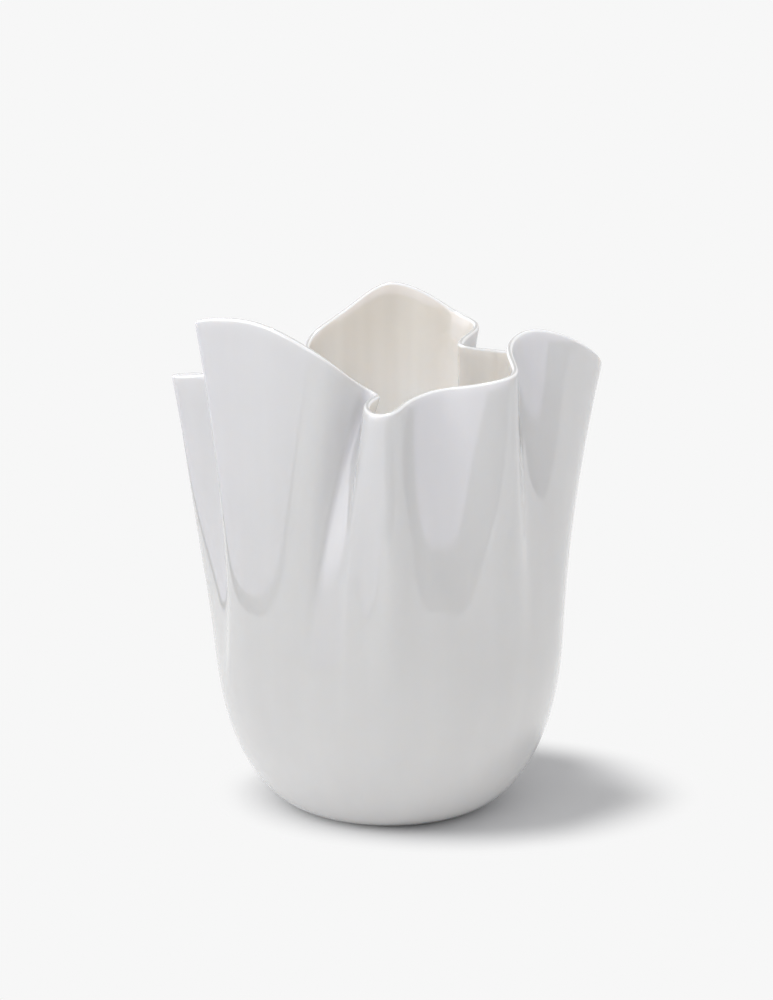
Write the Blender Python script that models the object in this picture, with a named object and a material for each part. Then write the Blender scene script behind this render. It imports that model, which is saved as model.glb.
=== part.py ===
"""Handkerchief vase: one piece of blown glass, a round bowl drawn up into loose upright folds.

Metres, +Z up. The origin is the centre of the ground foot. Azimuths are degrees
counter-clockwise from +X seen from above, and the vase's front faces -Y (azimuth 270).
"""
from collections import namedtuple

import bpy
import numpy as np

# Driving dimensions
HEIGHT = 0.305           # foot to the top of the tallest fold
FOOT_RADIUS = 0.048      # flat ground foot
BOWL_RADIUS = 0.104      # the round bowl where its side stands upright
BOWL_HEIGHT = 0.105      # height of the bowl's curve, from the foot to the upright side
FOLD_START = 0.062       # height at which the folds begin to leave the round bowl
FOLD_SOFTNESS = 0.12     # share of the wall's climb over which they fade in
WALL = 0.0035            # glass thickness of the wall and the lip
FLOOR = 0.005            # glass thickness over the foot

# How finely the surface is drawn
COLUMNS_PER_RIB = 3
BOWL_ROWS = 8
FOLD_ROWS = 11
LIP_ROWS = 3

MILLIMETRE = 0.001

# A rib is a line up the wall. It leaves the round bowl at foot_angle and ends in the rim at
# rim_angle, where it reaches so many millimetres beyond the bowl's radius and ends so many
# below the vase's height. waist moves its middle out or in, in millimetres, and ease says
# how late it leaves the bowl. Where rim angles run back, the wall is folded over itself.
Rib = namedtuple("Rib", "foot_angle rim_angle reach drop ease waist")
RIBS = [
    Rib(358, 358, 21, 36, 1.85, 0),      # right corner
    Rib(372, 369, 8, 47, 1.6, 0),
    Rib(384, 380, -20, 53, 1.5, -2),     # dip behind the right corner
    Rib(393, 392, -6, 51, 1.5, 0),
    Rib(403, 403, 12, 47, 1.5, 2),       # low corner, back right
    Rib(412, 411.5, -1, 43, 1.5, 0),
    Rib(420, 417, -20, 38, 1.5, -3),     # back pleat, its inner turn
    Rib(425, 417.5, -12, 34, 1.5, -2),
    Rib(429, 417.5, 0, 29, 1.5, 0),      # back pleat, its outer turn
    Rib(436, 426, 7, 24, 1.5, 0),
    Rib(444, 436, 8, 14, 1.5, 0),
    Rib(452, 450, 7, 6, 1.5, 0),         # tall back fold
    Rib(460, 464, 4, 20.5, 1.5, 0),
    Rib(470, 480, -1, 39, 1.5, 0),
    Rib(481, 488, -16, 48, 1.5, -3),     # dip, back left
    Rib(492, 498, -1, 47, 1.5, 0),
    Rib(501, 507, 14, 43, 1.5, 2),       # low corner, back left
    Rib(512, 516.5, -12, 52, 1.5, -3),
    Rib(521, 524, 10, 49, 1.5, 1),
    Rib(530, 531, 27, 48, 1.35, 3),      # left corner
    Rib(543, 539, 12, 45, 1.4, 0),
    Rib(558, 546, -10, 35, 1.6, -4),     # dip behind the front left fold
    Rib(564, 550, -2, 18, 1.7, -2),
    Rib(569, 558, 13, 7, 1.8, 0),        # front left fold, its left edge
    Rib(575, 573, 8, 1, 1.7, 1),
    Rib(582, 590, 6, 1, 1.5, 1),
    Rib(591, 603, 3, 10, 1.5, 0),
    Rib(600, 613, -6, 23, 1.9, -2),
    Rib(606, 620, -30, 38, 2.3, -3),     # front pleat, its inner turn
    Rib(611, 624, -28, 41, 2.5, -3),
    Rib(615.5, 621, -18, 44, 2.1, -1),
    Rib(621, 624, -6, 48, 1.8, -2),
    Rib(628.5, 631, -3, 47, 1.6, 2),     # narrow front fold
    Rib(637, 637, -14, 43, 1.6, 1),
    Rib(644, 646, -22, 39.5, 1.7, 0),
    Rib(652, 654, -23, 38, 1.9, -2),     # front dip
    Rib(661, 663, -12, 35.5, 1.8, -1),
    Rib(670, 673, -2, 31, 1.6, 1),       # low front fold
    Rib(678, 679, -8, 27, 1.8, 0),
    Rib(685, 688, -21, 18, 2.2, -2),     # crease beside the front right fold
    Rib(693, 698, -16, 12, 1.6, 0),
    Rib(704, 707, 6, 19, 1.6, 1),        # front right fold
]


def round_about(angle, radius):
    """Return x and y at each azimuth, in degrees, and radius."""
    turn = np.radians(angle)
    return np.stack([radius * np.cos(turn), radius * np.sin(turn)], axis=-1)


def closed_spline(knots, wrap, steps):
    """Sample a smooth closed cubic curve through the knots, whose first columns are x, y, z.

    wrap is what one full turn adds to each column. Each span takes the square root of its
    chord as its time, and the slopes are solved so that the curvature has no jump.
    """
    count = len(knots)
    chords = np.vstack([knots[1:], knots[:1] + wrap]) - knots
    spans = np.sqrt(np.linalg.norm(chords[:, :3], axis=1))
    rates = chords / spans[:, None]
    system = np.zeros((count, count))
    for here in range(count):
        before = here - 1
        after = (here + 1) % count
        system[here, before] = spans[here]
        system[here, here] = 2.0 * (spans[before] + spans[here])
        system[here, after] = spans[before]
    earlier = np.roll(spans, 1)[:, None]
    target = 3.0 * (spans[:, None] * np.roll(rates, 1, axis=0) + earlier * rates)
    slopes = np.linalg.solve(system, target)
    samples = []
    for here in range(count):
        for share in np.linspace(0.0, 1.0, steps, endpoint=False):
            bend = share ** 2 * (3.0 - 2.0 * share)
            leaving = share * (1.0 - share) ** 2
            arriving = share ** 2 * (share - 1.0)
            turn = leaving * slopes[here] + arriving * slopes[(here + 1) % count]
            samples.append(knots[here] + bend * chords[here] + turn * spans[here])
    return np.array(samples)


def bowl_radius(height):
    """Return the round bowl's outer radius: a quarter ellipse from the foot, then upright."""
    below = np.clip(1.0 - height / BOWL_HEIGHT, 0.0, 1.0)
    return FOOT_RADIUS + (BOWL_RADIUS - FOOT_RADIUS) * np.sqrt(1.0 - below ** 2)


def rib_columns():
    """Return the rim points and each column's foot azimuth, ease and waist, all the way round."""
    ribs = np.array(RIBS, dtype=float)
    foot_angle, rim_angle, reach, drop, ease, waist = ribs.T
    rim = round_about(rim_angle, BOWL_RADIUS + reach * MILLIMETRE)
    rim_height = HEIGHT - drop * MILLIMETRE
    knots = np.column_stack([rim, rim_height, foot_angle, ease, waist * MILLIMETRE])
    full_turn = np.array([0.0, 0.0, 0.0, 360.0, 0.0, 0.0])
    columns = closed_spline(knots, full_turn, COLUMNS_PER_RIB)
    return columns[:, :3], columns[:, 3], columns[:, 4], columns[:, 5]


def wall_ring(level, columns):
    """Return the outer surface's ring at a level: 0 the foot, 1 the start of the folds, 2 the rim."""
    rim, foot_angle, ease, waist = columns
    if level <= 1.0:
        fold_turn = np.arccos(1.0 - min(FOLD_START / BOWL_HEIGHT, 1.0))
        height = BOWL_HEIGHT * (1.0 - np.cos(level * fold_turn))
        around = round_about(foot_angle, bowl_radius(height))
        return np.column_stack([around, np.full(len(foot_angle), height)])
    rise = level - 1.0
    height = FOLD_START + rise * (rim[:, 2] - FOLD_START)
    soft_rise = rise ** 2 * (1.0 + FOLD_SOFTNESS) / (rise + FOLD_SOFTNESS)
    lean = (soft_rise ** ease)[:, None]
    around = (1.0 - lean) * round_about(foot_angle, bowl_radius(height)) + lean * rim[:, :2]
    radius = np.linalg.norm(around, axis=1)
    middle = (4.0 * rise * (1.0 - rise)) ** 2
    around *= (1.0 + waist * middle / radius)[:, None]
    return np.column_stack([around, height])


def unit(vectors):
    """Return the vectors at length one."""
    return vectors / np.linalg.norm(vectors, axis=1, keepdims=True)


def ring_directions(level, columns):
    """Return the unit directions up the wall and out of it, for every point of a ring."""
    step = 0.001
    lower = wall_ring(max(level - step, 0.0), columns)
    upper = wall_ring(min(level + step, 2.0), columns)
    ring = wall_ring(level, columns)
    upward = unit(upper - lower)
    along = np.roll(ring, -1, axis=0) - np.roll(ring, 1, axis=0)
    return upward, unit(np.cross(along, upward))


def glass_rings():
    """Return the rings of the whole skin: up the outside, over the lip and down the inside."""
    columns = rib_columns()
    bowl_levels = np.linspace(0.0, 1.0, BOWL_ROWS, endpoint=False)
    fold_levels = np.linspace(1.0, 2.0, FOLD_ROWS, endpoint=False)
    outside = []
    inside = []
    for level in np.concatenate([bowl_levels, fold_levels]):
        ring = wall_ring(level, columns)
        outward = ring_directions(level, columns)[1]
        glass = WALL + (FLOOR - WALL) * max(1.0 - level, 0.0)
        if level == 0.0:
            outward = np.tile([0.0, 0.0, -1.0], (len(ring), 1))
        outside.append(ring)
        inside.append(ring - outward * glass)
    upward, outward = ring_directions(2.0, columns)
    lip_radius = WALL / 2.0
    lip_centre = wall_ring(2.0, columns) - (upward + outward) * lip_radius
    lip = []
    for turn in np.linspace(0.0, np.pi, LIP_ROWS + 2):
        lip.append(lip_centre + (outward * np.cos(turn) + upward * np.sin(turn)) * lip_radius)
    return outside + lip + inside[::-1]


def glass_material():
    """Return the milky white glass."""
    material = bpy.data.materials.new("white_glass")
    material.use_nodes = True
    shader = material.node_tree.nodes["Principled BSDF"]
    shader.inputs["Base Color"].default_value = (0.80, 0.80, 0.81, 1.0)
    shader.inputs["Metallic"].default_value = 0.0
    shader.inputs["Roughness"].default_value = 0.08
    shader.inputs["IOR"].default_value = 1.5
    return material


def build_vase():
    """Build the vase as one closed body."""
    rings = glass_rings()
    count = len(rings[0])
    faces = [tuple(reversed(range(count)))]
    for row in range(len(rings) - 1):
        for column in range(count):
            beside = (column + 1) % count
            here = row * count
            above = here + count
            faces.append((here + column, here + beside, above + beside, above + column))
    last = (len(rings) - 1) * count
    faces.append(tuple(range(last, last + count)))
    mesh = bpy.data.meshes.new("vase")
    mesh.from_pydata(np.vstack(rings).tolist(), [], faces)
    mesh.shade_smooth()
    mesh.polygons[0].use_smooth = False
    mesh.materials.append(glass_material())
    vase = bpy.data.objects.new("vase", mesh)
    bpy.context.scene.collection.objects.link(vase)


for leftover in list(bpy.data.objects):
    bpy.data.objects.remove(leftover)
build_vase()
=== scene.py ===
# %% [markdown]
# # A handkerchief vase in milky glass
#
# The glassblower blows a round bowl, opens it, and swings it until the hot wall falls into
# folds of its own. This lesson builds that one wall with Geometry Nodes, gives the glass its
# finish, and lights it on a pale studio floor. Lengths are metres and +Z is up.

import bpy
import numpy as np
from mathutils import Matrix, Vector
from mathutils.bvhtree import BVHTree


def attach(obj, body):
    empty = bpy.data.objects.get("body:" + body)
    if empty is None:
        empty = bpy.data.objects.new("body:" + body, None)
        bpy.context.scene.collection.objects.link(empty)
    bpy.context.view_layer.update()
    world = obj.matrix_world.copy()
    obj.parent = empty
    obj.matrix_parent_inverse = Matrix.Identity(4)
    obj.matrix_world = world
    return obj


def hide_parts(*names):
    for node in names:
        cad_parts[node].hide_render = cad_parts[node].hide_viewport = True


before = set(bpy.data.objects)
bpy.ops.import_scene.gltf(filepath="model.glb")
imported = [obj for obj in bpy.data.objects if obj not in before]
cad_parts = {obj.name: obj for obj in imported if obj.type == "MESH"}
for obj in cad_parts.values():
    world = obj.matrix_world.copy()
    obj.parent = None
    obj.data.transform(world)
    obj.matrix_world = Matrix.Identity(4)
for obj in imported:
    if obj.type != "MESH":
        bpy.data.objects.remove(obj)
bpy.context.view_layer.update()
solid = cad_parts["vase"]

# %% [markdown]
# ## The folds as ribs
#
# A folded wall could be sculpted or simulated, but folds that are set by a few numbers are
# easier to move against a photograph. Each rib is a line up the wall: the azimuth where it
# leaves the round bowl, the azimuth where it ends in the rim, how far it reaches beyond the
# bowl's radius there, how far below the vase's height it ends, how late it leaves the bowl,
# and how its middle is moved out or in. Where the rim azimuths run back, the wall is folded
# over itself. Angles are degrees, and reach, drop and waist are millimetres.

# %% Sizes and ribs
HEIGHT = 0.305
FOOT_RADIUS = 0.048
BOWL_RADIUS = 0.104
BOWL_HEIGHT = 0.105
FOLD_START = 0.062
FOLD_SOFTNESS = 0.12
WALL = 0.0035
FLOOR = 0.005
MILLIMETRE = 0.001

# foot angle, rim angle, reach, drop, ease, waist
RIBS = [
    (358, 358, 21, 36, 1.85, 0),
    (372, 369, 8, 47, 1.6, 0),
    (384, 380, -20, 53, 1.5, -2),
    (393, 392, -6, 51, 1.5, 0),
    (403, 403, 12, 47, 1.5, 2),
    (412, 411.5, -1, 43, 1.5, 0),
    (420, 417, -20, 38, 1.5, -3),
    (425, 417.5, -12, 34, 1.5, -2),
    (429, 417.5, 0, 29, 1.5, 0),
    (436, 426, 7, 24, 1.5, 0),
    (444, 436, 8, 14, 1.5, 0),
    (452, 450, 7, 6, 1.5, 0),
    (460, 464, 4, 20.5, 1.5, 0),
    (470, 480, -1, 39, 1.5, 0),
    (481, 488, -16, 48, 1.5, -3),
    (492, 498, -1, 47, 1.5, 0),
    (501, 507, 14, 43, 1.5, 2),
    (512, 516.5, -12, 52, 1.5, -3),
    (521, 524, 10, 49, 1.5, 1),
    (530, 531, 27, 48, 1.35, 3),
    (543, 539, 12, 45, 1.4, 0),
    (558, 546, -10, 35, 1.6, -4),
    (564, 550, -2, 18, 1.7, -2),
    (569, 558, 13, 7, 1.8, 0),
    (575, 573, 8, 1, 1.7, 1),
    (582, 590, 6, 1, 1.5, 1),
    (591, 603, 3, 10, 1.5, 0),
    (600, 613, -6, 23, 1.9, -2),
    (606, 620, -30, 38, 2.3, -3),
    (611, 624, -28, 41, 2.5, -3),
    (615.5, 621, -18, 44, 2.1, -1),
    (621, 624, -6, 48, 1.8, -2),
    (628.5, 631, -3, 47, 1.6, 2),
    (637, 637, -14, 43, 1.6, 1),
    (644, 646, -22, 39.5, 1.7, 0),
    (652, 654, -23, 38, 1.9, -2),
    (661, 663, -12, 35.5, 1.8, -1),
    (670, 673, -2, 31, 1.6, 1),
    (678, 679, -8, 27, 1.8, 0),
    (685, 688, -21, 18, 2.2, -2),
    (693, 698, -16, 12, 1.6, 0),
    (704, 707, 6, 19, 1.6, 1),
]
COLUMNS_PER_RIB = 10
print(len(RIBS), "ribs")

# %% [markdown]
# ## The rim as a loop of points
#
# Glass flows, so what joins the ribs is one smooth closed curve. Any jump in its curvature
# would show as a kink in the reflections, so the slopes at the ribs are solved together, as
# in a bent spline of wood. The loop is a mesh of loose points, and each point carries its
# rib's other values as attributes, which the node tree reads later.


# %% Build the rim loop
def closed_spline(knots, wrap, steps):
    """Sample a smooth closed cubic curve through the knots, whose first columns are x, y, z.

    wrap is what one full turn adds to each column. Each span takes the square root of its
    chord as its time, and the slopes are solved so that the curvature has no jump.
    """
    count = len(knots)
    chords = np.vstack([knots[1:], knots[:1] + wrap]) - knots
    spans = np.sqrt(np.linalg.norm(chords[:, :3], axis=1))
    rates = chords / spans[:, None]
    system = np.zeros((count, count))
    for here in range(count):
        before = here - 1
        after = (here + 1) % count
        system[here, before] = spans[here]
        system[here, here] = 2.0 * (spans[before] + spans[here])
        system[here, after] = spans[before]
    earlier = np.roll(spans, 1)[:, None]
    target = 3.0 * (spans[:, None] * np.roll(rates, 1, axis=0) + earlier * rates)
    slopes = np.linalg.solve(system, target)
    samples = []
    for here in range(count):
        for share in np.linspace(0.0, 1.0, steps, endpoint=False):
            bend = share ** 2 * (3.0 - 2.0 * share)
            leaving = share * (1.0 - share) ** 2
            arriving = share ** 2 * (share - 1.0)
            turn = leaving * slopes[here] + arriving * slopes[(here + 1) % count]
            samples.append(knots[here] + bend * chords[here] + turn * spans[here])
    return np.array(samples)


def build_rim_loop():
    """Return an object of loose rim points with foot_turn, ease and waist attributes."""
    foot_angle, rim_angle, reach, drop, ease, waist = np.array(RIBS, dtype=float).T
    radius = BOWL_RADIUS + reach * MILLIMETRE
    turn = np.radians(rim_angle)
    height = HEIGHT - drop * MILLIMETRE
    foot_turn = np.radians(foot_angle)
    knots = np.column_stack([radius * np.cos(turn), radius * np.sin(turn), height,
                             foot_turn, ease, waist * MILLIMETRE])
    wrap = np.array([0.0, 0.0, 0.0, 2.0 * np.pi, 0.0, 0.0])
    columns = closed_spline(knots, wrap, COLUMNS_PER_RIB)
    mesh = bpy.data.meshes.new("rim_loop")
    mesh.from_pydata(columns[:, :3].tolist(), [], [])
    for number, name in ((3, "foot_turn"), (4, "ease"), (5, "waist")):
        attribute = mesh.attributes.new(name, "FLOAT", "POINT")
        attribute.data.foreach_set("value", columns[:, number].astype(np.float32))
    loop = bpy.data.objects.new("rim_loop", mesh)
    bpy.context.scene.collection.objects.link(loop)
    return loop


rim_loop = build_rim_loop()
column_count = len(rim_loop.data.vertices)
print("rim loop of", column_count, "points")

# %% [markdown]
# ## Helpers for node trees
#
# A node tree written by hand is long. These helpers each add one node, link or set its
# inputs, and return its output, so that the trees below read like formulas.


# %% Node helpers
def feed(tree, socket, value):
    """Link a socket's value, or set it where the value is a plain number or colour."""
    if isinstance(value, bpy.types.NodeSocket):
        tree.links.new(value, socket)
    else:
        socket.default_value = value


def math(tree, operation, *values):
    """Add a Math node and return its value."""
    node = tree.nodes.new("ShaderNodeMath")
    node.operation = operation
    for socket, value in zip(node.inputs, values):
        feed(tree, socket, value)
    return node.outputs[0]


def vector(tree, operation, *values):
    """Add a Vector Math node and return its vector, or its value for a length or distance."""
    node = tree.nodes.new("ShaderNodeVectorMath")
    node.operation = operation
    sockets = list(node.inputs)
    if operation == "SCALE":
        sockets = [node.inputs["Vector"], node.inputs["Scale"]]
    for socket, value in zip(sockets, values):
        feed(tree, socket, value)
    if operation in ("LENGTH", "DISTANCE"):
        return node.outputs["Value"]
    return node.outputs["Vector"]


def mix_value(tree, factor, low, high):
    """Return low where factor is 0 and high where it is 1."""
    node = tree.nodes.new("ShaderNodeMix")
    node.data_type = "FLOAT"
    feed(tree, node.inputs["Factor"], factor)
    feed(tree, node.inputs["A"], low)
    feed(tree, node.inputs["B"], high)
    return node.outputs["Result"]


def combine(tree, x, y, z):
    """Return a vector of three values."""
    node = tree.nodes.new("ShaderNodeCombineXYZ")
    for socket, value in zip(node.inputs, (x, y, z)):
        feed(tree, socket, value)
    return node.outputs[0]


def separate(tree, value):
    """Return the x, y and z of a vector."""
    node = tree.nodes.new("ShaderNodeSeparateXYZ")
    feed(tree, node.inputs[0], value)
    return node.outputs[0], node.outputs[1], node.outputs[2]


def new_tree(name, kind, inputs, outputs):
    """Make a node group with named sockets and return it with its input and output nodes."""
    tree = bpy.data.node_groups.new(name, kind)
    for title, socket_type in inputs:
        tree.interface.new_socket(title, in_out="INPUT", socket_type=socket_type)
    for title, socket_type in outputs:
        tree.interface.new_socket(title, in_out="OUTPUT", socket_type=socket_type)
    return tree, tree.nodes.new("NodeGroupInput").outputs, tree.nodes.new("NodeGroupOutput").inputs


# %% [markdown]
# ## One point of the wall
#
# Level 0 is the foot's edge, 1 is where the folds begin and 2 is the rim. Below level 1 the
# wall is the round bowl, whose side is a quarter ellipse. Above it each column leans from the
# bowl to its own rim point, slowly at first, so the folds fade out of the bowl as they do in
# hot glass. The rule is a group of its own, because the wall's directions need it too.

# %% The wall rule as a node group
FLOAT = "NodeSocketFloat"
SHAPE_SIZES = {
    "Foot Radius": FOOT_RADIUS,
    "Bowl Radius": BOWL_RADIUS,
    "Bowl Height": BOWL_HEIGHT,
    "Fold Start": FOLD_START,
    "Fold Softness": FOLD_SOFTNESS,
}


def sample_rim(tree, rim, column, name=None):
    """Return a column's rim position, or its named float attribute."""
    node = tree.nodes.new("GeometryNodeSampleIndex")
    feed(tree, node.inputs["Geometry"], rim)
    feed(tree, node.inputs["Index"], column)
    if name is None:
        node.data_type = "FLOAT_VECTOR"
        feed(tree, node.inputs["Value"], tree.nodes.new("GeometryNodeInputPosition").outputs[0])
    else:
        attribute = tree.nodes.new("GeometryNodeInputNamedAttribute")
        attribute.data_type = "FLOAT"
        attribute.inputs["Name"].default_value = name
        feed(tree, node.inputs["Value"], attribute.outputs["Attribute"])
    return node.outputs["Value"]


def build_wall_point_group():
    """Build the group that turns a column and a level into a point of the outer surface."""
    inputs = [("Rim", "NodeSocketGeometry"), ("Column", "NodeSocketInt"), ("Level", FLOAT)]
    inputs += [(name, FLOAT) for name in SHAPE_SIZES]
    tree, given, result = new_tree("wall_point", "GeometryNodeTree", inputs,
                                   [("Point", "NodeSocketVector")])
    rim = sample_rim(tree, given["Rim"], given["Column"])
    foot_turn = sample_rim(tree, given["Rim"], given["Column"], "foot_turn")
    ease = sample_rim(tree, given["Rim"], given["Column"], "ease")
    waist = sample_rim(tree, given["Rim"], given["Column"], "waist")
    rim_height = separate(tree, rim)[2]

    # The bowl's arc turns evenly with the level, and the folds rise evenly after it.
    start_share = math(tree, "DIVIDE", given["Fold Start"], given["Bowl Height"])
    full_turn = math(tree, "ARCCOSINE", math(tree, "SUBTRACT", 1.0, start_share))
    bowl_level = math(tree, "MINIMUM", given["Level"], 1.0)
    bowl_turn = math(tree, "MULTIPLY", bowl_level, full_turn)
    arc_share = math(tree, "SUBTRACT", 1.0, math(tree, "COSINE", bowl_turn))
    arc_height = math(tree, "MULTIPLY", arc_share, given["Bowl Height"])
    rise = math(tree, "MAXIMUM", math(tree, "SUBTRACT", given["Level"], 1.0), 0.0)
    climb = math(tree, "SUBTRACT", rim_height, given["Fold Start"])
    height = math(tree, "MULTIPLY_ADD", rise, climb, arc_height)

    # The round bowl's radius at that height.
    share = math(tree, "DIVIDE", height, given["Bowl Height"])
    below = math(tree, "MAXIMUM", math(tree, "SUBTRACT", 1.0, share), 0.0)
    swell = math(tree, "SQRT", math(tree, "SUBTRACT", 1.0, math(tree, "POWER", below, 2.0)))
    widening = math(tree, "SUBTRACT", given["Bowl Radius"], given["Foot Radius"])
    radius = math(tree, "MULTIPLY_ADD", swell, widening, given["Foot Radius"])
    bowl = combine(tree, math(tree, "MULTIPLY", radius, math(tree, "COSINE", foot_turn)),
                   math(tree, "MULTIPLY", radius, math(tree, "SINE", foot_turn)), 0.0)

    # Lean from the bowl to the rim point, and move the middle out or in.
    softened = math(tree, "MULTIPLY", math(tree, "POWER", rise, 2.0),
                    math(tree, "ADD", 1.0, given["Fold Softness"]))
    softened = math(tree, "DIVIDE", softened, math(tree, "ADD", rise, given["Fold Softness"]))
    lean = math(tree, "POWER", softened, ease)
    rim_flat = vector(tree, "MULTIPLY", rim, (1.0, 1.0, 0.0))
    step = vector(tree, "SUBTRACT", rim_flat, bowl)
    around = vector(tree, "ADD", bowl, vector(tree, "SCALE", step, lean))
    hump = math(tree, "MULTIPLY", rise, math(tree, "SUBTRACT", 1.0, rise))
    middle = math(tree, "POWER", math(tree, "MULTIPLY", hump, 4.0), 2.0)
    push = math(tree, "MULTIPLY", middle, waist)
    push = math(tree, "DIVIDE", push, vector(tree, "LENGTH", around))
    around = vector(tree, "SCALE", around, math(tree, "ADD", 1.0, push))
    feed(tree, result["Point"], vector(tree, "ADD", around, combine(tree, 0.0, 0.0, height)))
    return tree


wall_point_group = build_wall_point_group()
print("wall rule of", len(wall_point_group.nodes), "nodes")

# %% [markdown]
# ## The whole skin as one grid
#
# A grid has a column for each rim point and a row for each step of a walk: from the middle
# of the foot up the outside, over the lip and down the inside. Every grid point finds its
# place on the wall, then moves off it along the outward and upward directions. Those come
# from the same rule a small step to each side, which gives a smooth wall of even thickness
# where Solidify would pinch the pleats. The lip is a half circle, as a flame rounds it.


# %% The skin tree
OUTSIDE_ROWS = 92
LIP_ROWS = 10
INSIDE_ROWS = 72
LEVEL_STEP = 0.004
MERGE_DISTANCE = 0.000002
INNER_START = 0.75       # share of the lip's half circle past which the glass is the inner one


def wall_point(tree, given, column, level):
    """Place the wall rule and return its point."""
    node = tree.nodes.new("GeometryNodeGroup")
    node.node_tree = wall_point_group
    feed(tree, node.inputs["Rim"], given["Rim"])
    feed(tree, node.inputs["Column"], column)
    feed(tree, node.inputs["Level"], level)
    for name in SHAPE_SIZES:
        feed(tree, node.inputs[name], given[name])
    return node.outputs["Point"]


def wall_directions(tree, given, column, level):
    """Return the unit directions up the wall and out of it."""
    lower = math(tree, "MAXIMUM", math(tree, "SUBTRACT", level, LEVEL_STEP), 0.0)
    upper = math(tree, "MINIMUM", math(tree, "ADD", level, LEVEL_STEP), 2.0)
    rise = vector(tree, "SUBTRACT", wall_point(tree, given, column, upper),
                  wall_point(tree, given, column, lower))
    upward = vector(tree, "NORMALIZE", rise)
    after = math(tree, "MODULO", math(tree, "ADD", column, 1.0), given["Columns"])
    before_step = math(tree, "ADD", column, math(tree, "SUBTRACT", given["Columns"], 1.0))
    before = math(tree, "MODULO", before_step, given["Columns"])
    along = vector(tree, "SUBTRACT", wall_point(tree, given, after, level),
                   wall_point(tree, given, before, level))
    outward = vector(tree, "NORMALIZE", vector(tree, "CROSS_PRODUCT", along, upward))
    return upward, outward


def add_grid(tree, given, rows):
    """Add the grid and return its geometry, column and row numbers."""
    grid = tree.nodes.new("GeometryNodeMeshGrid")
    feed(tree, grid.inputs["Size X"], given["Columns"])
    feed(tree, grid.inputs["Size Y"], math(tree, "SUBTRACT", rows, 1.0))
    feed(tree, grid.inputs["Vertices X"], math(tree, "ADD", given["Columns"], 1.0))
    feed(tree, grid.inputs["Vertices Y"], rows)
    x, y, _ = separate(tree, tree.nodes.new("GeometryNodeInputPosition").outputs[0])
    column = math(tree, "ROUND", math(tree, "MULTIPLY_ADD", given["Columns"], 0.5, x))
    column = math(tree, "MODULO", column, given["Columns"])
    half_rows = math(tree, "MULTIPLY", math(tree, "SUBTRACT", rows, 1.0), 0.5)
    row = math(tree, "ROUND", math(tree, "ADD", y, half_rows))
    return grid.outputs["Mesh"], column, row


def store(tree, geometry, name, value):
    """Store a float on every point under a name and return the geometry."""
    node = tree.nodes.new("GeometryNodeStoreNamedAttribute")
    node.data_type = "FLOAT"
    node.domain = "POINT"
    node.inputs["Name"].default_value = name
    feed(tree, node.inputs["Geometry"], geometry)
    feed(tree, node.inputs["Value"], value)
    return node.outputs["Geometry"]


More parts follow.
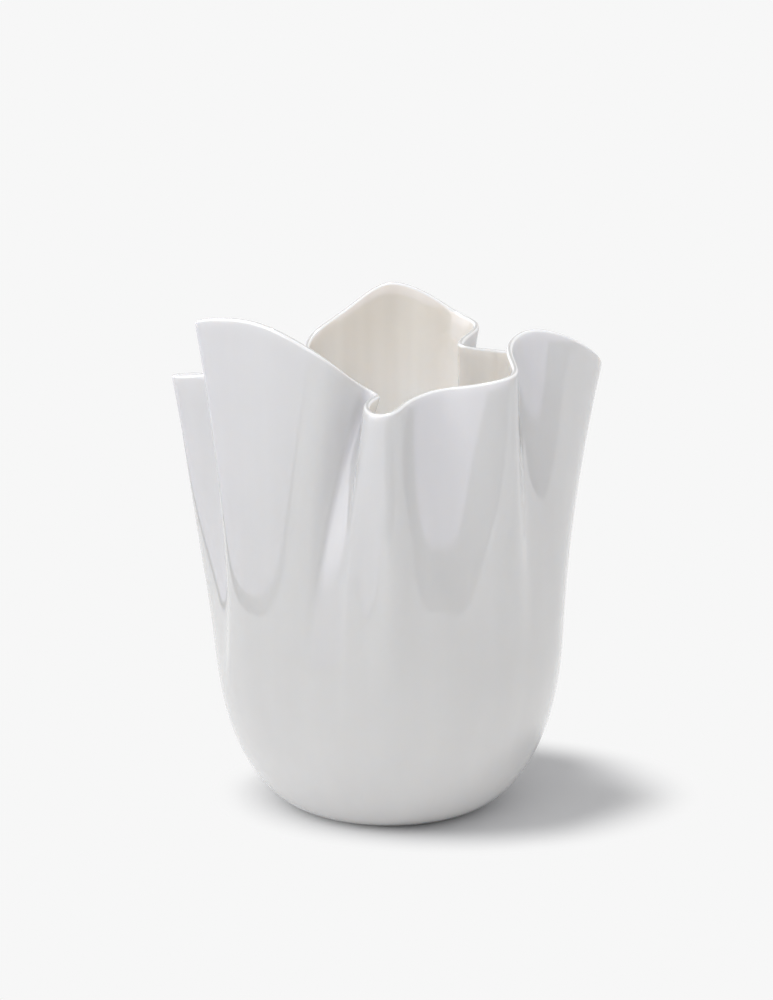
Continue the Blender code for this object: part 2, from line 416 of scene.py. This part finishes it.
def build_skin_tree():
    """Build the tree that makes the vase from the rim loop."""
    inputs = [("Rim", "NodeSocketGeometry")]
    inputs += [(name, FLOAT) for name in SHAPE_SIZES]
    inputs += [("Wall", FLOAT), ("Floor", FLOAT), ("Columns", "NodeSocketInt"),
               ("Outside Rows", "NodeSocketInt"), ("Lip Rows", "NodeSocketInt"),
               ("Inside Rows", "NodeSocketInt"), ("Glass", "NodeSocketMaterial"),
               ("Inner Glass", "NodeSocketMaterial")]
    tree, given, result = new_tree("folded_skin", "GeometryNodeTree", inputs,
                                   [("Vase", "NodeSocketGeometry")])

    # Row 0 and the last row are the middles of the foot and of the floor.
    last = math(tree, "ADD", math(tree, "ADD", given["Outside Rows"], given["Lip Rows"]),
                math(tree, "ADD", given["Inside Rows"], 2.0))
    geometry, column, row = add_grid(tree, given, math(tree, "ADD", last, 1.0))
    rim_height = separate(tree, sample_rim(tree, given["Rim"], column))[2]
    climb = math(tree, "SUBTRACT", rim_height, given["Fold Start"])
    half_wall = math(tree, "MULTIPLY", given["Wall"], 0.5)
    top = math(tree, "SUBTRACT", 2.0, math(tree, "DIVIDE", half_wall, climb))

    # The level climbs to the lip and falls again, and the lip turns half a circle between.
    walked = math(tree, "SUBTRACT", row, 1.0)
    left = math(tree, "SUBTRACT", math(tree, "SUBTRACT", last, 1.0), row)
    rising = math(tree, "MULTIPLY", math(tree, "DIVIDE", walked, given["Outside Rows"]), top)
    falling = math(tree, "MULTIPLY", math(tree, "DIVIDE", left, given["Inside Rows"]), top)
    level = math(tree, "MINIMUM", math(tree, "MINIMUM", rising, falling), top)
    level = math(tree, "MAXIMUM", level, 0.0)
    past = math(tree, "SUBTRACT", walked, given["Outside Rows"])
    lip_share = math(tree, "DIVIDE", past, given["Lip Rows"])
    lip_share = math(tree, "MINIMUM", math(tree, "MAXIMUM", lip_share, 0.0), 1.0)
    lip_turn = math(tree, "MULTIPLY", lip_share, np.pi)

    # The glass is thicker towards the foot.
    near_foot = math(tree, "MAXIMUM", math(tree, "SUBTRACT", 1.0, level), 0.0)
    glass = mix_value(tree, near_foot, given["Wall"], given["Floor"])
    half_glass = math(tree, "MULTIPLY", glass, 0.5)

    point = wall_point(tree, given, column, level)
    upward, outward = wall_directions(tree, given, column, level)
    inward_share = math(tree, "SUBTRACT", math(tree, "COSINE", lip_turn), 1.0)
    outward_step = math(tree, "MULTIPLY", inward_share, half_glass)
    upward_step = math(tree, "MULTIPLY", math(tree, "SINE", lip_turn), half_glass)
    place = vector(tree, "ADD", point, vector(tree, "SCALE", outward, outward_step))
    place = vector(tree, "ADD", place, vector(tree, "SCALE", upward, upward_step))

    # Close the foot and the floor at their middles.
    at_start = math(tree, "LESS_THAN", row, 0.5)
    at_end = math(tree, "GREATER_THAN", row, math(tree, "SUBTRACT", last, 0.5))
    open_share = math(tree, "SUBTRACT", 1.0, math(tree, "ADD", at_start, at_end))
    place = vector(tree, "MULTIPLY", place, combine(tree, open_share, open_share, 1.0))

    geometry = store(tree, geometry, "level", level)
    geometry = store(tree, geometry, "lip", math(tree, "SINE", lip_turn))
    geometry = store(tree, geometry, "inside", lip_share)
    mover = tree.nodes.new("GeometryNodeSetPosition")
    feed(tree, mover.inputs["Geometry"], geometry)
    feed(tree, mover.inputs["Position"], place)
    merger = tree.nodes.new("GeometryNodeMergeByDistance")
    merger.inputs["Distance"].default_value = MERGE_DISTANCE
    feed(tree, merger.inputs["Geometry"], mover.outputs["Geometry"])
    smoother = tree.nodes.new("GeometryNodeSetShadeSmooth")
    feed(tree, smoother.inputs["Geometry"], merger.outputs["Geometry"])
    realizer = tree.nodes.new("GeometryNodeRealizeInstances")
    feed(tree, realizer.inputs["Geometry"], smoother.outputs["Geometry"])
    outer = tree.nodes.new("GeometryNodeSetMaterial")
    feed(tree, outer.inputs["Geometry"], realizer.outputs["Geometry"])
    feed(tree, outer.inputs["Material"], given["Glass"])
    inner = tree.nodes.new("GeometryNodeSetMaterial")
    inside = tree.nodes.new("GeometryNodeInputNamedAttribute")
    inside.data_type = "FLOAT"
    inside.inputs["Name"].default_value = "inside"
    feed(tree, inner.inputs["Geometry"], outer.outputs["Geometry"])
    feed(tree, inner.inputs["Selection"],
         math(tree, "GREATER_THAN", inside.outputs["Attribute"], INNER_START))
    feed(tree, inner.inputs["Material"], given["Inner Glass"])
    feed(tree, result["Vase"], inner.outputs["Geometry"])
    return tree


skin_tree = build_skin_tree()
print("skin tree of", len(skin_tree.nodes), "nodes")

# %% [markdown]
# ## The glass
#
# Milky glass is white glass that scatters light inside. Outside it looks cool and grey. Inside,
# where light has come through the wall, it looks warm and bright, and that light is painted: the
# inside has its own lighter and warmer copy of the glass, with painted shade darker towards the
# rim. Its surface is fire polished: sharp reflections, bent a little by slow waves left by the
# blowing. Glass that was drawn up while hot also keeps faint upright streaks, so one noise is
# stretched along the height. The rim was cut and melted round. Its colour is painted light: a
# light band of painted highlight, and a fine grey line of painted shade along its top, which
# follow the attribute that the tree wrote on the lip.


# %% The blown surface as a shader group
# name, size in metres, how much the height counts, detail of the noise
BLOWN_PATTERNS = [
    ("Waves", 0.045, 0.35, 1.0),
    ("Cloud", 0.030, 1.0, 3.0),
    ("Streaks", 0.020, 0.06, 2.0),
]


def build_blown_surface_group():
    """Build the group of slow waves, cloudiness and upright streaks that both glasses use."""
    inputs = [(name + " Size", FLOAT) for name, _, _, _ in BLOWN_PATTERNS]
    outputs = [(name, FLOAT) for name, _, _, _ in BLOWN_PATTERNS]
    tree, given, result = new_tree("blown_surface", "ShaderNodeTree", inputs, outputs)
    place = tree.nodes.new("ShaderNodeTexCoord").outputs["Object"]
    for name, _, height_share, detail in BLOWN_PATTERNS:
        noise = tree.nodes.new("ShaderNodeTexNoise")
        noise.inputs["Detail"].default_value = detail
        drawn = vector(tree, "MULTIPLY", place, (1.0, 1.0, height_share))
        feed(tree, noise.inputs["Vector"], drawn)
        feed(tree, noise.inputs["Scale"], math(tree, "DIVIDE", 1.0, given[name + " Size"]))
        feed(tree, result[name], noise.outputs["Fac"])
    return tree


blown_surface_group = build_blown_surface_group()
print("blown surface of", len(blown_surface_group.nodes), "nodes")


# %% The two glasses
def colour_ramp(tree, factor, stops):
    """Return a colour that runs through the stops, each a place and a colour."""
    node = tree.nodes.new("ShaderNodeValToRGB")
    ramp = node.color_ramp
    while len(ramp.elements) < len(stops):
        ramp.elements.new(1.0)
    for element, (place, colour) in zip(ramp.elements, stops):
        element.position = place
        element.color = (*colour, 1.0)
    feed(tree, node.inputs["Fac"], factor)
    return node.outputs["Color"]


def mix_colour(tree, factor, low, high, blend="MIX"):
    """Return a blend of two colours."""
    node = tree.nodes.new("ShaderNodeMix")
    node.data_type = "RGBA"
    node.blend_type = blend
    feed(tree, node.inputs["Factor"], factor)
    feed(tree, node.inputs["A"], low)
    feed(tree, node.inputs["B"], high)
    return node.outputs["Result"]


GLASS_IOR = 1.52
CLOUD_DEPTH = 0.04
CLOUD_BASE = 0.98
ROUGHNESS_LOW = 0.02
ROUGHNESS_DEPTH = 0.03
SCATTER_WEIGHT = 0.8
SCATTER_DEPTH = 0.008
WAVE_STRENGTH = 0.25
WAVE_HEIGHT = 0.0015
LIP_SHARPNESS = 4.0
# The lip's colour across its half circle is a light band of painted highlight, then a grey line of
# painted shade along the very top.
LIP_PAINTED_HIGHLIGHT_AND_SHADE = [(0.0, (0.79, 0.79, 0.79)), (0.80, (0.79, 0.79, 0.79)), (0.95, (0.50, 0.50, 0.49)),
             (1.0, (0.44, 0.44, 0.43))]


def blown_colour(tree, blown, stops, streak_depth):
    """Return the glass's colour: by height, then clouded and streaked, then the lip's painted
    highlight and shade.
    """
    height = separate(tree, tree.nodes.new("ShaderNodeTexCoord").outputs["Object"])[2]
    body = colour_ramp(tree, math(tree, "DIVIDE", height, HEIGHT), stops)
    clouded = math(tree, "MULTIPLY_ADD", blown.outputs["Cloud"], CLOUD_DEPTH, CLOUD_BASE)
    streaked = math(tree, "MULTIPLY_ADD", blown.outputs["Streaks"], streak_depth,
                    1.0 - 0.5 * streak_depth)
    shade = math(tree, "MULTIPLY", clouded, streaked)
    body = mix_colour(tree, 1.0, body, combine(tree, shade, shade, shade), "MULTIPLY")
    lip = tree.nodes.new("ShaderNodeAttribute")
    lip.attribute_name = "lip"
    on_lip = math(tree, "MULTIPLY", lip.outputs["Fac"], LIP_SHARPNESS)
    on_lip = math(tree, "MINIMUM", on_lip, 1.0)
    return mix_colour(tree, on_lip, body, colour_ramp(tree, lip.outputs["Fac"], LIP_PAINTED_HIGHLIGHT_AND_SHADE))


def build_glass(name, stops, streak_depth):
    """Build a milky glass coloured by height, with upright streaks and a lip's painted highlight
    and shade.
    """
    material = bpy.data.materials.new(name)
    material.use_nodes = True
    tree = material.node_tree
    shader = tree.nodes["Principled BSDF"]
    blown = tree.nodes.new("ShaderNodeGroup")
    blown.node_tree = blown_surface_group
    for pattern, size, _, _ in BLOWN_PATTERNS:
        blown.inputs[pattern + " Size"].default_value = size
    feed(tree, shader.inputs["Base Color"], blown_colour(tree, blown, stops, streak_depth))
    roughness = math(tree, "MULTIPLY_ADD", blown.outputs["Cloud"], ROUGHNESS_DEPTH, ROUGHNESS_LOW)
    feed(tree, shader.inputs["Roughness"], roughness)
    shader.inputs["IOR"].default_value = GLASS_IOR
    shader.inputs["Coat Weight"].default_value = 0.7
    shader.inputs["Coat Roughness"].default_value = 0.01
    shader.inputs["Coat IOR"].default_value = GLASS_IOR
    shader.inputs["Subsurface Weight"].default_value = SCATTER_WEIGHT
    shader.inputs["Subsurface Radius"].default_value = (1.0, 0.9, 0.8)
    shader.inputs["Subsurface Scale"].default_value = SCATTER_DEPTH
    bump = tree.nodes.new("ShaderNodeBump")
    bump.inputs["Strength"].default_value = WAVE_STRENGTH
    bump.inputs["Distance"].default_value = WAVE_HEIGHT
    feed(tree, bump.inputs["Height"], blown.outputs["Waves"])
    feed(tree, shader.inputs["Normal"], bump.outputs["Normal"])
    return material


outer_glass = build_glass(
    "milky_glass",
    [(0.0, (0.705, 0.71, 0.715)), (0.35, (0.67, 0.675, 0.68)), (1.0, (0.715, 0.72, 0.735))], 0.06)
# The inside is a lighter, warmer copy of the same glass. This is painted light for the light that
# comes through the wall and bounces inside, and painted shade darkens it towards the rim.
inner_glass = build_glass(
    "inner_glass_painted_light",
    [(0.0, (0.93, 0.90, 0.87)), (0.72, (0.95, 0.92, 0.885)), (0.9, (0.81, 0.773, 0.725)),
     (1.0, (0.78, 0.742, 0.695))], 0.30)
print("glasses", outer_glass.name, inner_glass.name)

# %% [markdown]
# ## Make the vase
#
# The tree runs as a modifier on the rim loop. Its inputs are set by each socket's identifier,
# and the evaluated result is copied to a plain mesh, which replaces the solid.


# %% Run the skin tree
def run_skin_tree():
    """Run the tree on the rim loop and return the vase as a plain object."""
    modifier = rim_loop.modifiers.new("folded_skin", "NODES")
    modifier.node_group = skin_tree
    chosen = dict(SHAPE_SIZES)
    chosen.update({"Wall": WALL, "Floor": FLOOR, "Columns": column_count,
                   "Outside Rows": OUTSIDE_ROWS, "Lip Rows": LIP_ROWS,
                   "Inside Rows": INSIDE_ROWS, "Glass": outer_glass,
                   "Inner Glass": inner_glass})
    for item in skin_tree.interface.items_tree:
        if item.in_out == "INPUT" and item.name in chosen:
            modifier[item.identifier] = chosen[item.name]
    graph = bpy.context.evaluated_depsgraph_get()
    mesh = bpy.data.meshes.new_from_object(rim_loop.evaluated_get(graph))
    mesh.name = "glass_vase"
    while None in list(mesh.materials):
        mesh.materials.pop(index=list(mesh.materials).index(None))
    rim_loop.modifiers.remove(modifier)
    bpy.data.objects.remove(rim_loop)
    piece = bpy.data.objects.new("glass_vase", mesh)
    bpy.context.scene.collection.objects.link(piece)
    return piece


glass_vase = run_skin_tree()
triangles = sum(len(face.vertices) - 2 for face in glass_vase.data.polygons)
slots = [material.name for material in glass_vase.data.materials]
print("vase of", triangles, "triangles, with materials", slots)


# %% Measure how closely it follows the solid
def furthest_from_solid(piece, every=37):
    """Return the largest distance from the piece's points to the solid's surface."""
    tree = BVHTree.FromPolygons([vertex.co for vertex in solid.data.vertices],
                                [tuple(face.vertices) for face in solid.data.polygons])
    points = [vertex.co for vertex in piece.data.vertices][::every]
    return max(tree.find_nearest(Vector(point))[3] for point in points)


print("furthest from the solid: %.2f mm" % (furthest_from_solid(glass_vase) / MILLIMETRE))
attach(glass_vase, "root")
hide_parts("vase")

# %% [markdown]
# ## The studio
#
# Glass shows what stands around it, so the studio matters as much as the glass. A pale paper
# floor runs back into a pale backdrop, as one sheet with a quarter round. Near the vase the
# paper is lit and keeps the shadow. Past an oval around it, the camera and the reflections
# see one even pale tone, so that the white ground needs no light of its own.

# %% Paper
PAPER_TONE = (0.93, 0.93, 0.93)
PAPER_COLOUR = (0.75, 0.75, 0.75)
PAPER_NEAR = 0.09
PAPER_FAR = 0.15
PAPER_CENTRE = (0.042, 0.015, 0.0)
PAPER_STRETCH = (1.0, 1.3, 1.0)


def fade_between(tree, value, low, high):
    """Return 0 where the value is below low, 1 above high, and a soft step between."""
    node = tree.nodes.new("ShaderNodeMapRange")
    node.interpolation_type = "SMOOTHSTEP"
    feed(tree, node.inputs["Value"], value)
    node.inputs["From Min"].default_value = low
    node.inputs["From Max"].default_value = high
    return node.outputs["Result"]


def build_paper():
    """Build the paper: shaded near the vase, and one even tone to the camera far from it."""
    material = bpy.data.materials.new("pale_paper")
    material.use_nodes = True
    tree = material.node_tree
    shader = tree.nodes["Principled BSDF"]
    shader.inputs["Base Color"].default_value = (*PAPER_COLOUR, 1.0)
    shader.inputs["Roughness"].default_value = 0.9
    shader.inputs["Specular IOR Level"].default_value = 0.1
    even = tree.nodes.new("ShaderNodeEmission")
    even.inputs["Color"].default_value = (*PAPER_TONE, 1.0)
    place = tree.nodes.new("ShaderNodeTexCoord").outputs["Object"]
    stretched = vector(tree, "MULTIPLY", place, PAPER_STRETCH)
    away = vector(tree, "DISTANCE", stretched, PAPER_CENTRE)
    far = fade_between(tree, away, PAPER_NEAR, PAPER_FAR)
    path = tree.nodes.new("ShaderNodeLightPath")
    seen = math(tree, "MAXIMUM", path.outputs["Is Camera Ray"], path.outputs["Is Glossy Ray"])
    seen = math(tree, "MAXIMUM", seen, path.outputs["Is Transmission Ray"])
    blend = tree.nodes.new("ShaderNodeMixShader")
    feed(tree, blend.inputs["Fac"], math(tree, "MULTIPLY", seen, far))
    tree.links.new(shader.outputs["BSDF"], blend.inputs[1])
    tree.links.new(even.outputs["Emission"], blend.inputs[2])
    tree.links.new(blend.outputs["Shader"], tree.nodes["Material Output"].inputs["Surface"])
    return material


# %% Floor and backdrop
PAPER_FRONT = -1.2
PAPER_BACK = 2.2
PAPER_LEFT = -0.50
PAPER_RIGHT = 1.9
SWEEP_RADIUS = 0.8
SWEEP_TOP = 3.0
SWEEP_STEPS = 16


def build_sweep():
    """Build the floor, a quarter round and the wall behind as one sheet."""
    outline = [(PAPER_FRONT, 0.0), (PAPER_BACK, 0.0)]
    for turn in np.linspace(0.0, np.pi / 2.0, SWEEP_STEPS + 1)[1:]:
        outline.append((PAPER_BACK + SWEEP_RADIUS * np.sin(turn),
                        SWEEP_RADIUS * (1.0 - np.cos(turn))))
    outline.append((PAPER_BACK + SWEEP_RADIUS, SWEEP_TOP))
    points = []
    for y, z in outline:
        points.append((PAPER_LEFT, y, z))
        points.append((PAPER_RIGHT, y, z))
    faces = []
    for strip in range(len(outline) - 1):
        low = 2 * strip
        faces.append((low, low + 1, low + 3, low + 2))
    mesh = bpy.data.meshes.new("studio_sweep")
    mesh.from_pydata(points, [], faces)
    mesh.shade_smooth()
    mesh.materials.append(build_paper())
    sweep = bpy.data.objects.new("studio_sweep", mesh)
    bpy.context.scene.collection.objects.link(sweep)
    return sweep


sweep = build_sweep()
print("sweep of", len(sweep.data.polygons), "strips")

# %% [markdown]
# ## The edge of the table
#
# The photograph's folds show fine dark curves, each shaped like a U. They are mirror images
# of the place where the table ends. So the paper ends 1.2 metres in front of the vase and
# half a metre to its left, and a narrow strip along it is dark for glossy rays alone.

# %% Table edge
EDGE_WIDTH = 0.045
FRONT_EDGE_WIDTH = 0.18
EDGE_GLOSS = (0.35, 0.35, 0.35)


def build_table_edge():
    """Build a narrow strip along the paper's front and sides."""
    inner = [(PAPER_LEFT, PAPER_BACK), (PAPER_LEFT, PAPER_FRONT),
             (PAPER_RIGHT, PAPER_FRONT), (PAPER_RIGHT, PAPER_BACK)]
    front = PAPER_FRONT - FRONT_EDGE_WIDTH
    outer = [(PAPER_LEFT - EDGE_WIDTH, PAPER_BACK), (PAPER_LEFT - EDGE_WIDTH, front),
             (PAPER_RIGHT + EDGE_WIDTH, front), (PAPER_RIGHT + EDGE_WIDTH, PAPER_BACK)]
    points = [(x, y, 0.0) for x, y in inner + outer]
    faces = [(0, 1, 5, 4), (1, 2, 6, 5), (2, 3, 7, 6)]
    mesh = bpy.data.meshes.new("table_edge")
    mesh.from_pydata(points, [], faces)
    material = bpy.data.materials.new("dark_table")
    material.use_nodes = True
    tree = material.node_tree
    glow = tree.nodes.new("ShaderNodeEmission")
    in_gloss = tree.nodes.new("ShaderNodeLightPath").outputs["Is Glossy Ray"]
    tone = mix_colour(tree, in_gloss, (*PAPER_TONE, 1.0), (*EDGE_GLOSS, 1.0))
    feed(tree, glow.inputs["Color"], tone)
    tree.links.new(glow.outputs["Emission"], tree.nodes["Material Output"].inputs["Surface"])
    mesh.materials.append(material)
    edge = bpy.data.objects.new("table_edge", mesh)
    bpy.context.scene.collection.objects.link(edge)
    return edge


table_edge = build_table_edge()
print("table edge of", len(table_edge.data.polygons), "strips")

# %% [markdown]
# ## The lamps
#
# A large soft lamp at the left front models the folds and throws the shadow to the right. A
# smaller one overhead keeps a shadow close under the bowl. Both stay weak, since white
# glass clips to a flat white as soon as a lamp is strong.


# %% Lamps
VASE_MIDDLE = Vector((0.0, 0.0, 0.16))


def add_lamp(name, place, size, power):
    """Add a square soft lamp at a place, turned towards the vase."""
    light = bpy.data.lights.new(name, "AREA")
    light.shape = "SQUARE"
    light.size = size
    light.energy = power
    lamp = bpy.data.objects.new(name, light)
    lamp.location = place
    direction = VASE_MIDDLE - Vector(place)
    lamp.rotation_euler = direction.to_track_quat("-Z", "Y").to_euler()
    bpy.context.scene.collection.objects.link(lamp)


add_lamp("key_lamp", place=(-1.10, -0.65, 1.10), size=0.7, power=4.2)
add_lamp("top_lamp", place=(-0.24, 0.02, 1.70), size=0.30, power=10.5)
print("lamps", [light.name for light in bpy.data.lights])

# %% [markdown]
# ## The room
#
# Most of the light comes from the room, brighter in front than behind. What the glass
# mirrors is set apart from what lights it: a bright, slightly violet room above the floor, a
# window at the left, and a dim floor beyond the paper. Light Path tells the rays apart.

# %% Room
ROOM_LIGHT = (0.52, 0.52, 0.53)
ROOM_FRONT_LIGHT = (0.82, 0.82, 0.82)
ROOM_GLOSS = (0.94, 0.93, 1.02)
ROOM_FRONT_GLOSS = (1.15, 1.12, 1.34)
WINDOW_GLOSS = (2.4, 2.38, 2.60)
ROOM_FLOOR_GLOSS = (0.35, 0.35, 0.35)

# Each fade runs between two values of a direction's x, y or z.
FRONT_FADE = (0.10, 0.22)
LEFT_FADE = (0.20, 0.24)
WINDOW_FADE = (0.4, 0.6)
WINDOW_FOOT_FADE = (-0.05, 0.03)
HORIZON_FADE = (-0.03, -0.01)


def build_room():
    """Build the world: light from all round, and a room that only gloss shows."""
    world = bpy.data.worlds.new("studio_room")
    world.use_nodes = True
    tree = world.node_tree
    direction = tree.nodes.new("ShaderNodeTexCoord").outputs["Generated"]
    x, y, z = separate(tree, direction)
    leftward = math(tree, "MULTIPLY", x, -1.0)
    front = fade_between(tree, math(tree, "MULTIPLY", y, -1.0), *FRONT_FADE)
    above = fade_between(tree, z, *HORIZON_FADE)
    window = math(tree, "MULTIPLY", fade_between(tree, leftward, *WINDOW_FADE),
                  fade_between(tree, z, *WINDOW_FOOT_FADE))

    # The wall at the left reaches below the horizon, because the table ends close by there.
    wall = math(tree, "MAXIMUM", above, fade_between(tree, leftward, *LEFT_FADE))
    light = mix_colour(tree, front, (*ROOM_LIGHT, 1.0), (*ROOM_FRONT_LIGHT, 1.0))
    front_above = math(tree, "MULTIPLY", front, above)
    gloss = mix_colour(tree, front_above, (*ROOM_GLOSS, 1.0), (*ROOM_FRONT_GLOSS, 1.0))
    gloss = mix_colour(tree, wall, (*ROOM_FLOOR_GLOSS, 1.0), gloss)
    gloss = mix_colour(tree, window, gloss, (*WINDOW_GLOSS, 1.0))
    path = tree.nodes.new("ShaderNodeLightPath")
    tone = mix_colour(tree, path.outputs["Is Glossy Ray"], light, gloss)
    seen = math(tree, "MAXIMUM", path.outputs["Is Camera Ray"], path.outputs["Is Transmission Ray"])
    tone = mix_colour(tree, seen, tone, (*PAPER_TONE, 1.0))
    feed(tree, tree.nodes["Background"].inputs["Color"], tone)
    return world


bpy.context.scene.world = build_room()
print("room of", len(bpy.context.scene.world.node_tree.nodes), "nodes")

# %% [markdown]
# ## The camera
#
# The photograph looks down 13 degrees from about 1.65 m, through a long lens. The picture is
# 773 by 1000, so the lens is measured along its height.

# %% Camera
CAMERA_ELEVATION = 13.0
CAMERA_DISTANCE = 1.65
LENS = 100.0
SENSOR_HEIGHT = 36.0
AIM = Vector((-0.0015, 0.0, 0.185))


def add_camera():
    """Add the camera, aimed at the vase, and make it the scene's."""
    camera_data = bpy.data.cameras.new("camera")
    camera_data.lens = LENS
    camera_data.sensor_fit = "VERTICAL"
    camera_data.sensor_height = SENSOR_HEIGHT
    camera = bpy.data.objects.new("camera", camera_data)
    elevation = np.radians(CAMERA_ELEVATION)
    back = Vector((0.0, -np.cos(elevation), np.sin(elevation)))
    camera.location = AIM + back * CAMERA_DISTANCE
    camera.rotation_euler = (-back).to_track_quat("-Z", "Y").to_euler()
    bpy.context.scene.collection.objects.link(camera)
    bpy.context.scene.camera = camera


add_camera()
print("camera at", [round(value, 3) for value in bpy.context.scene.camera.location])
bpy.context.scene.view_settings.view_transform = "Standard"
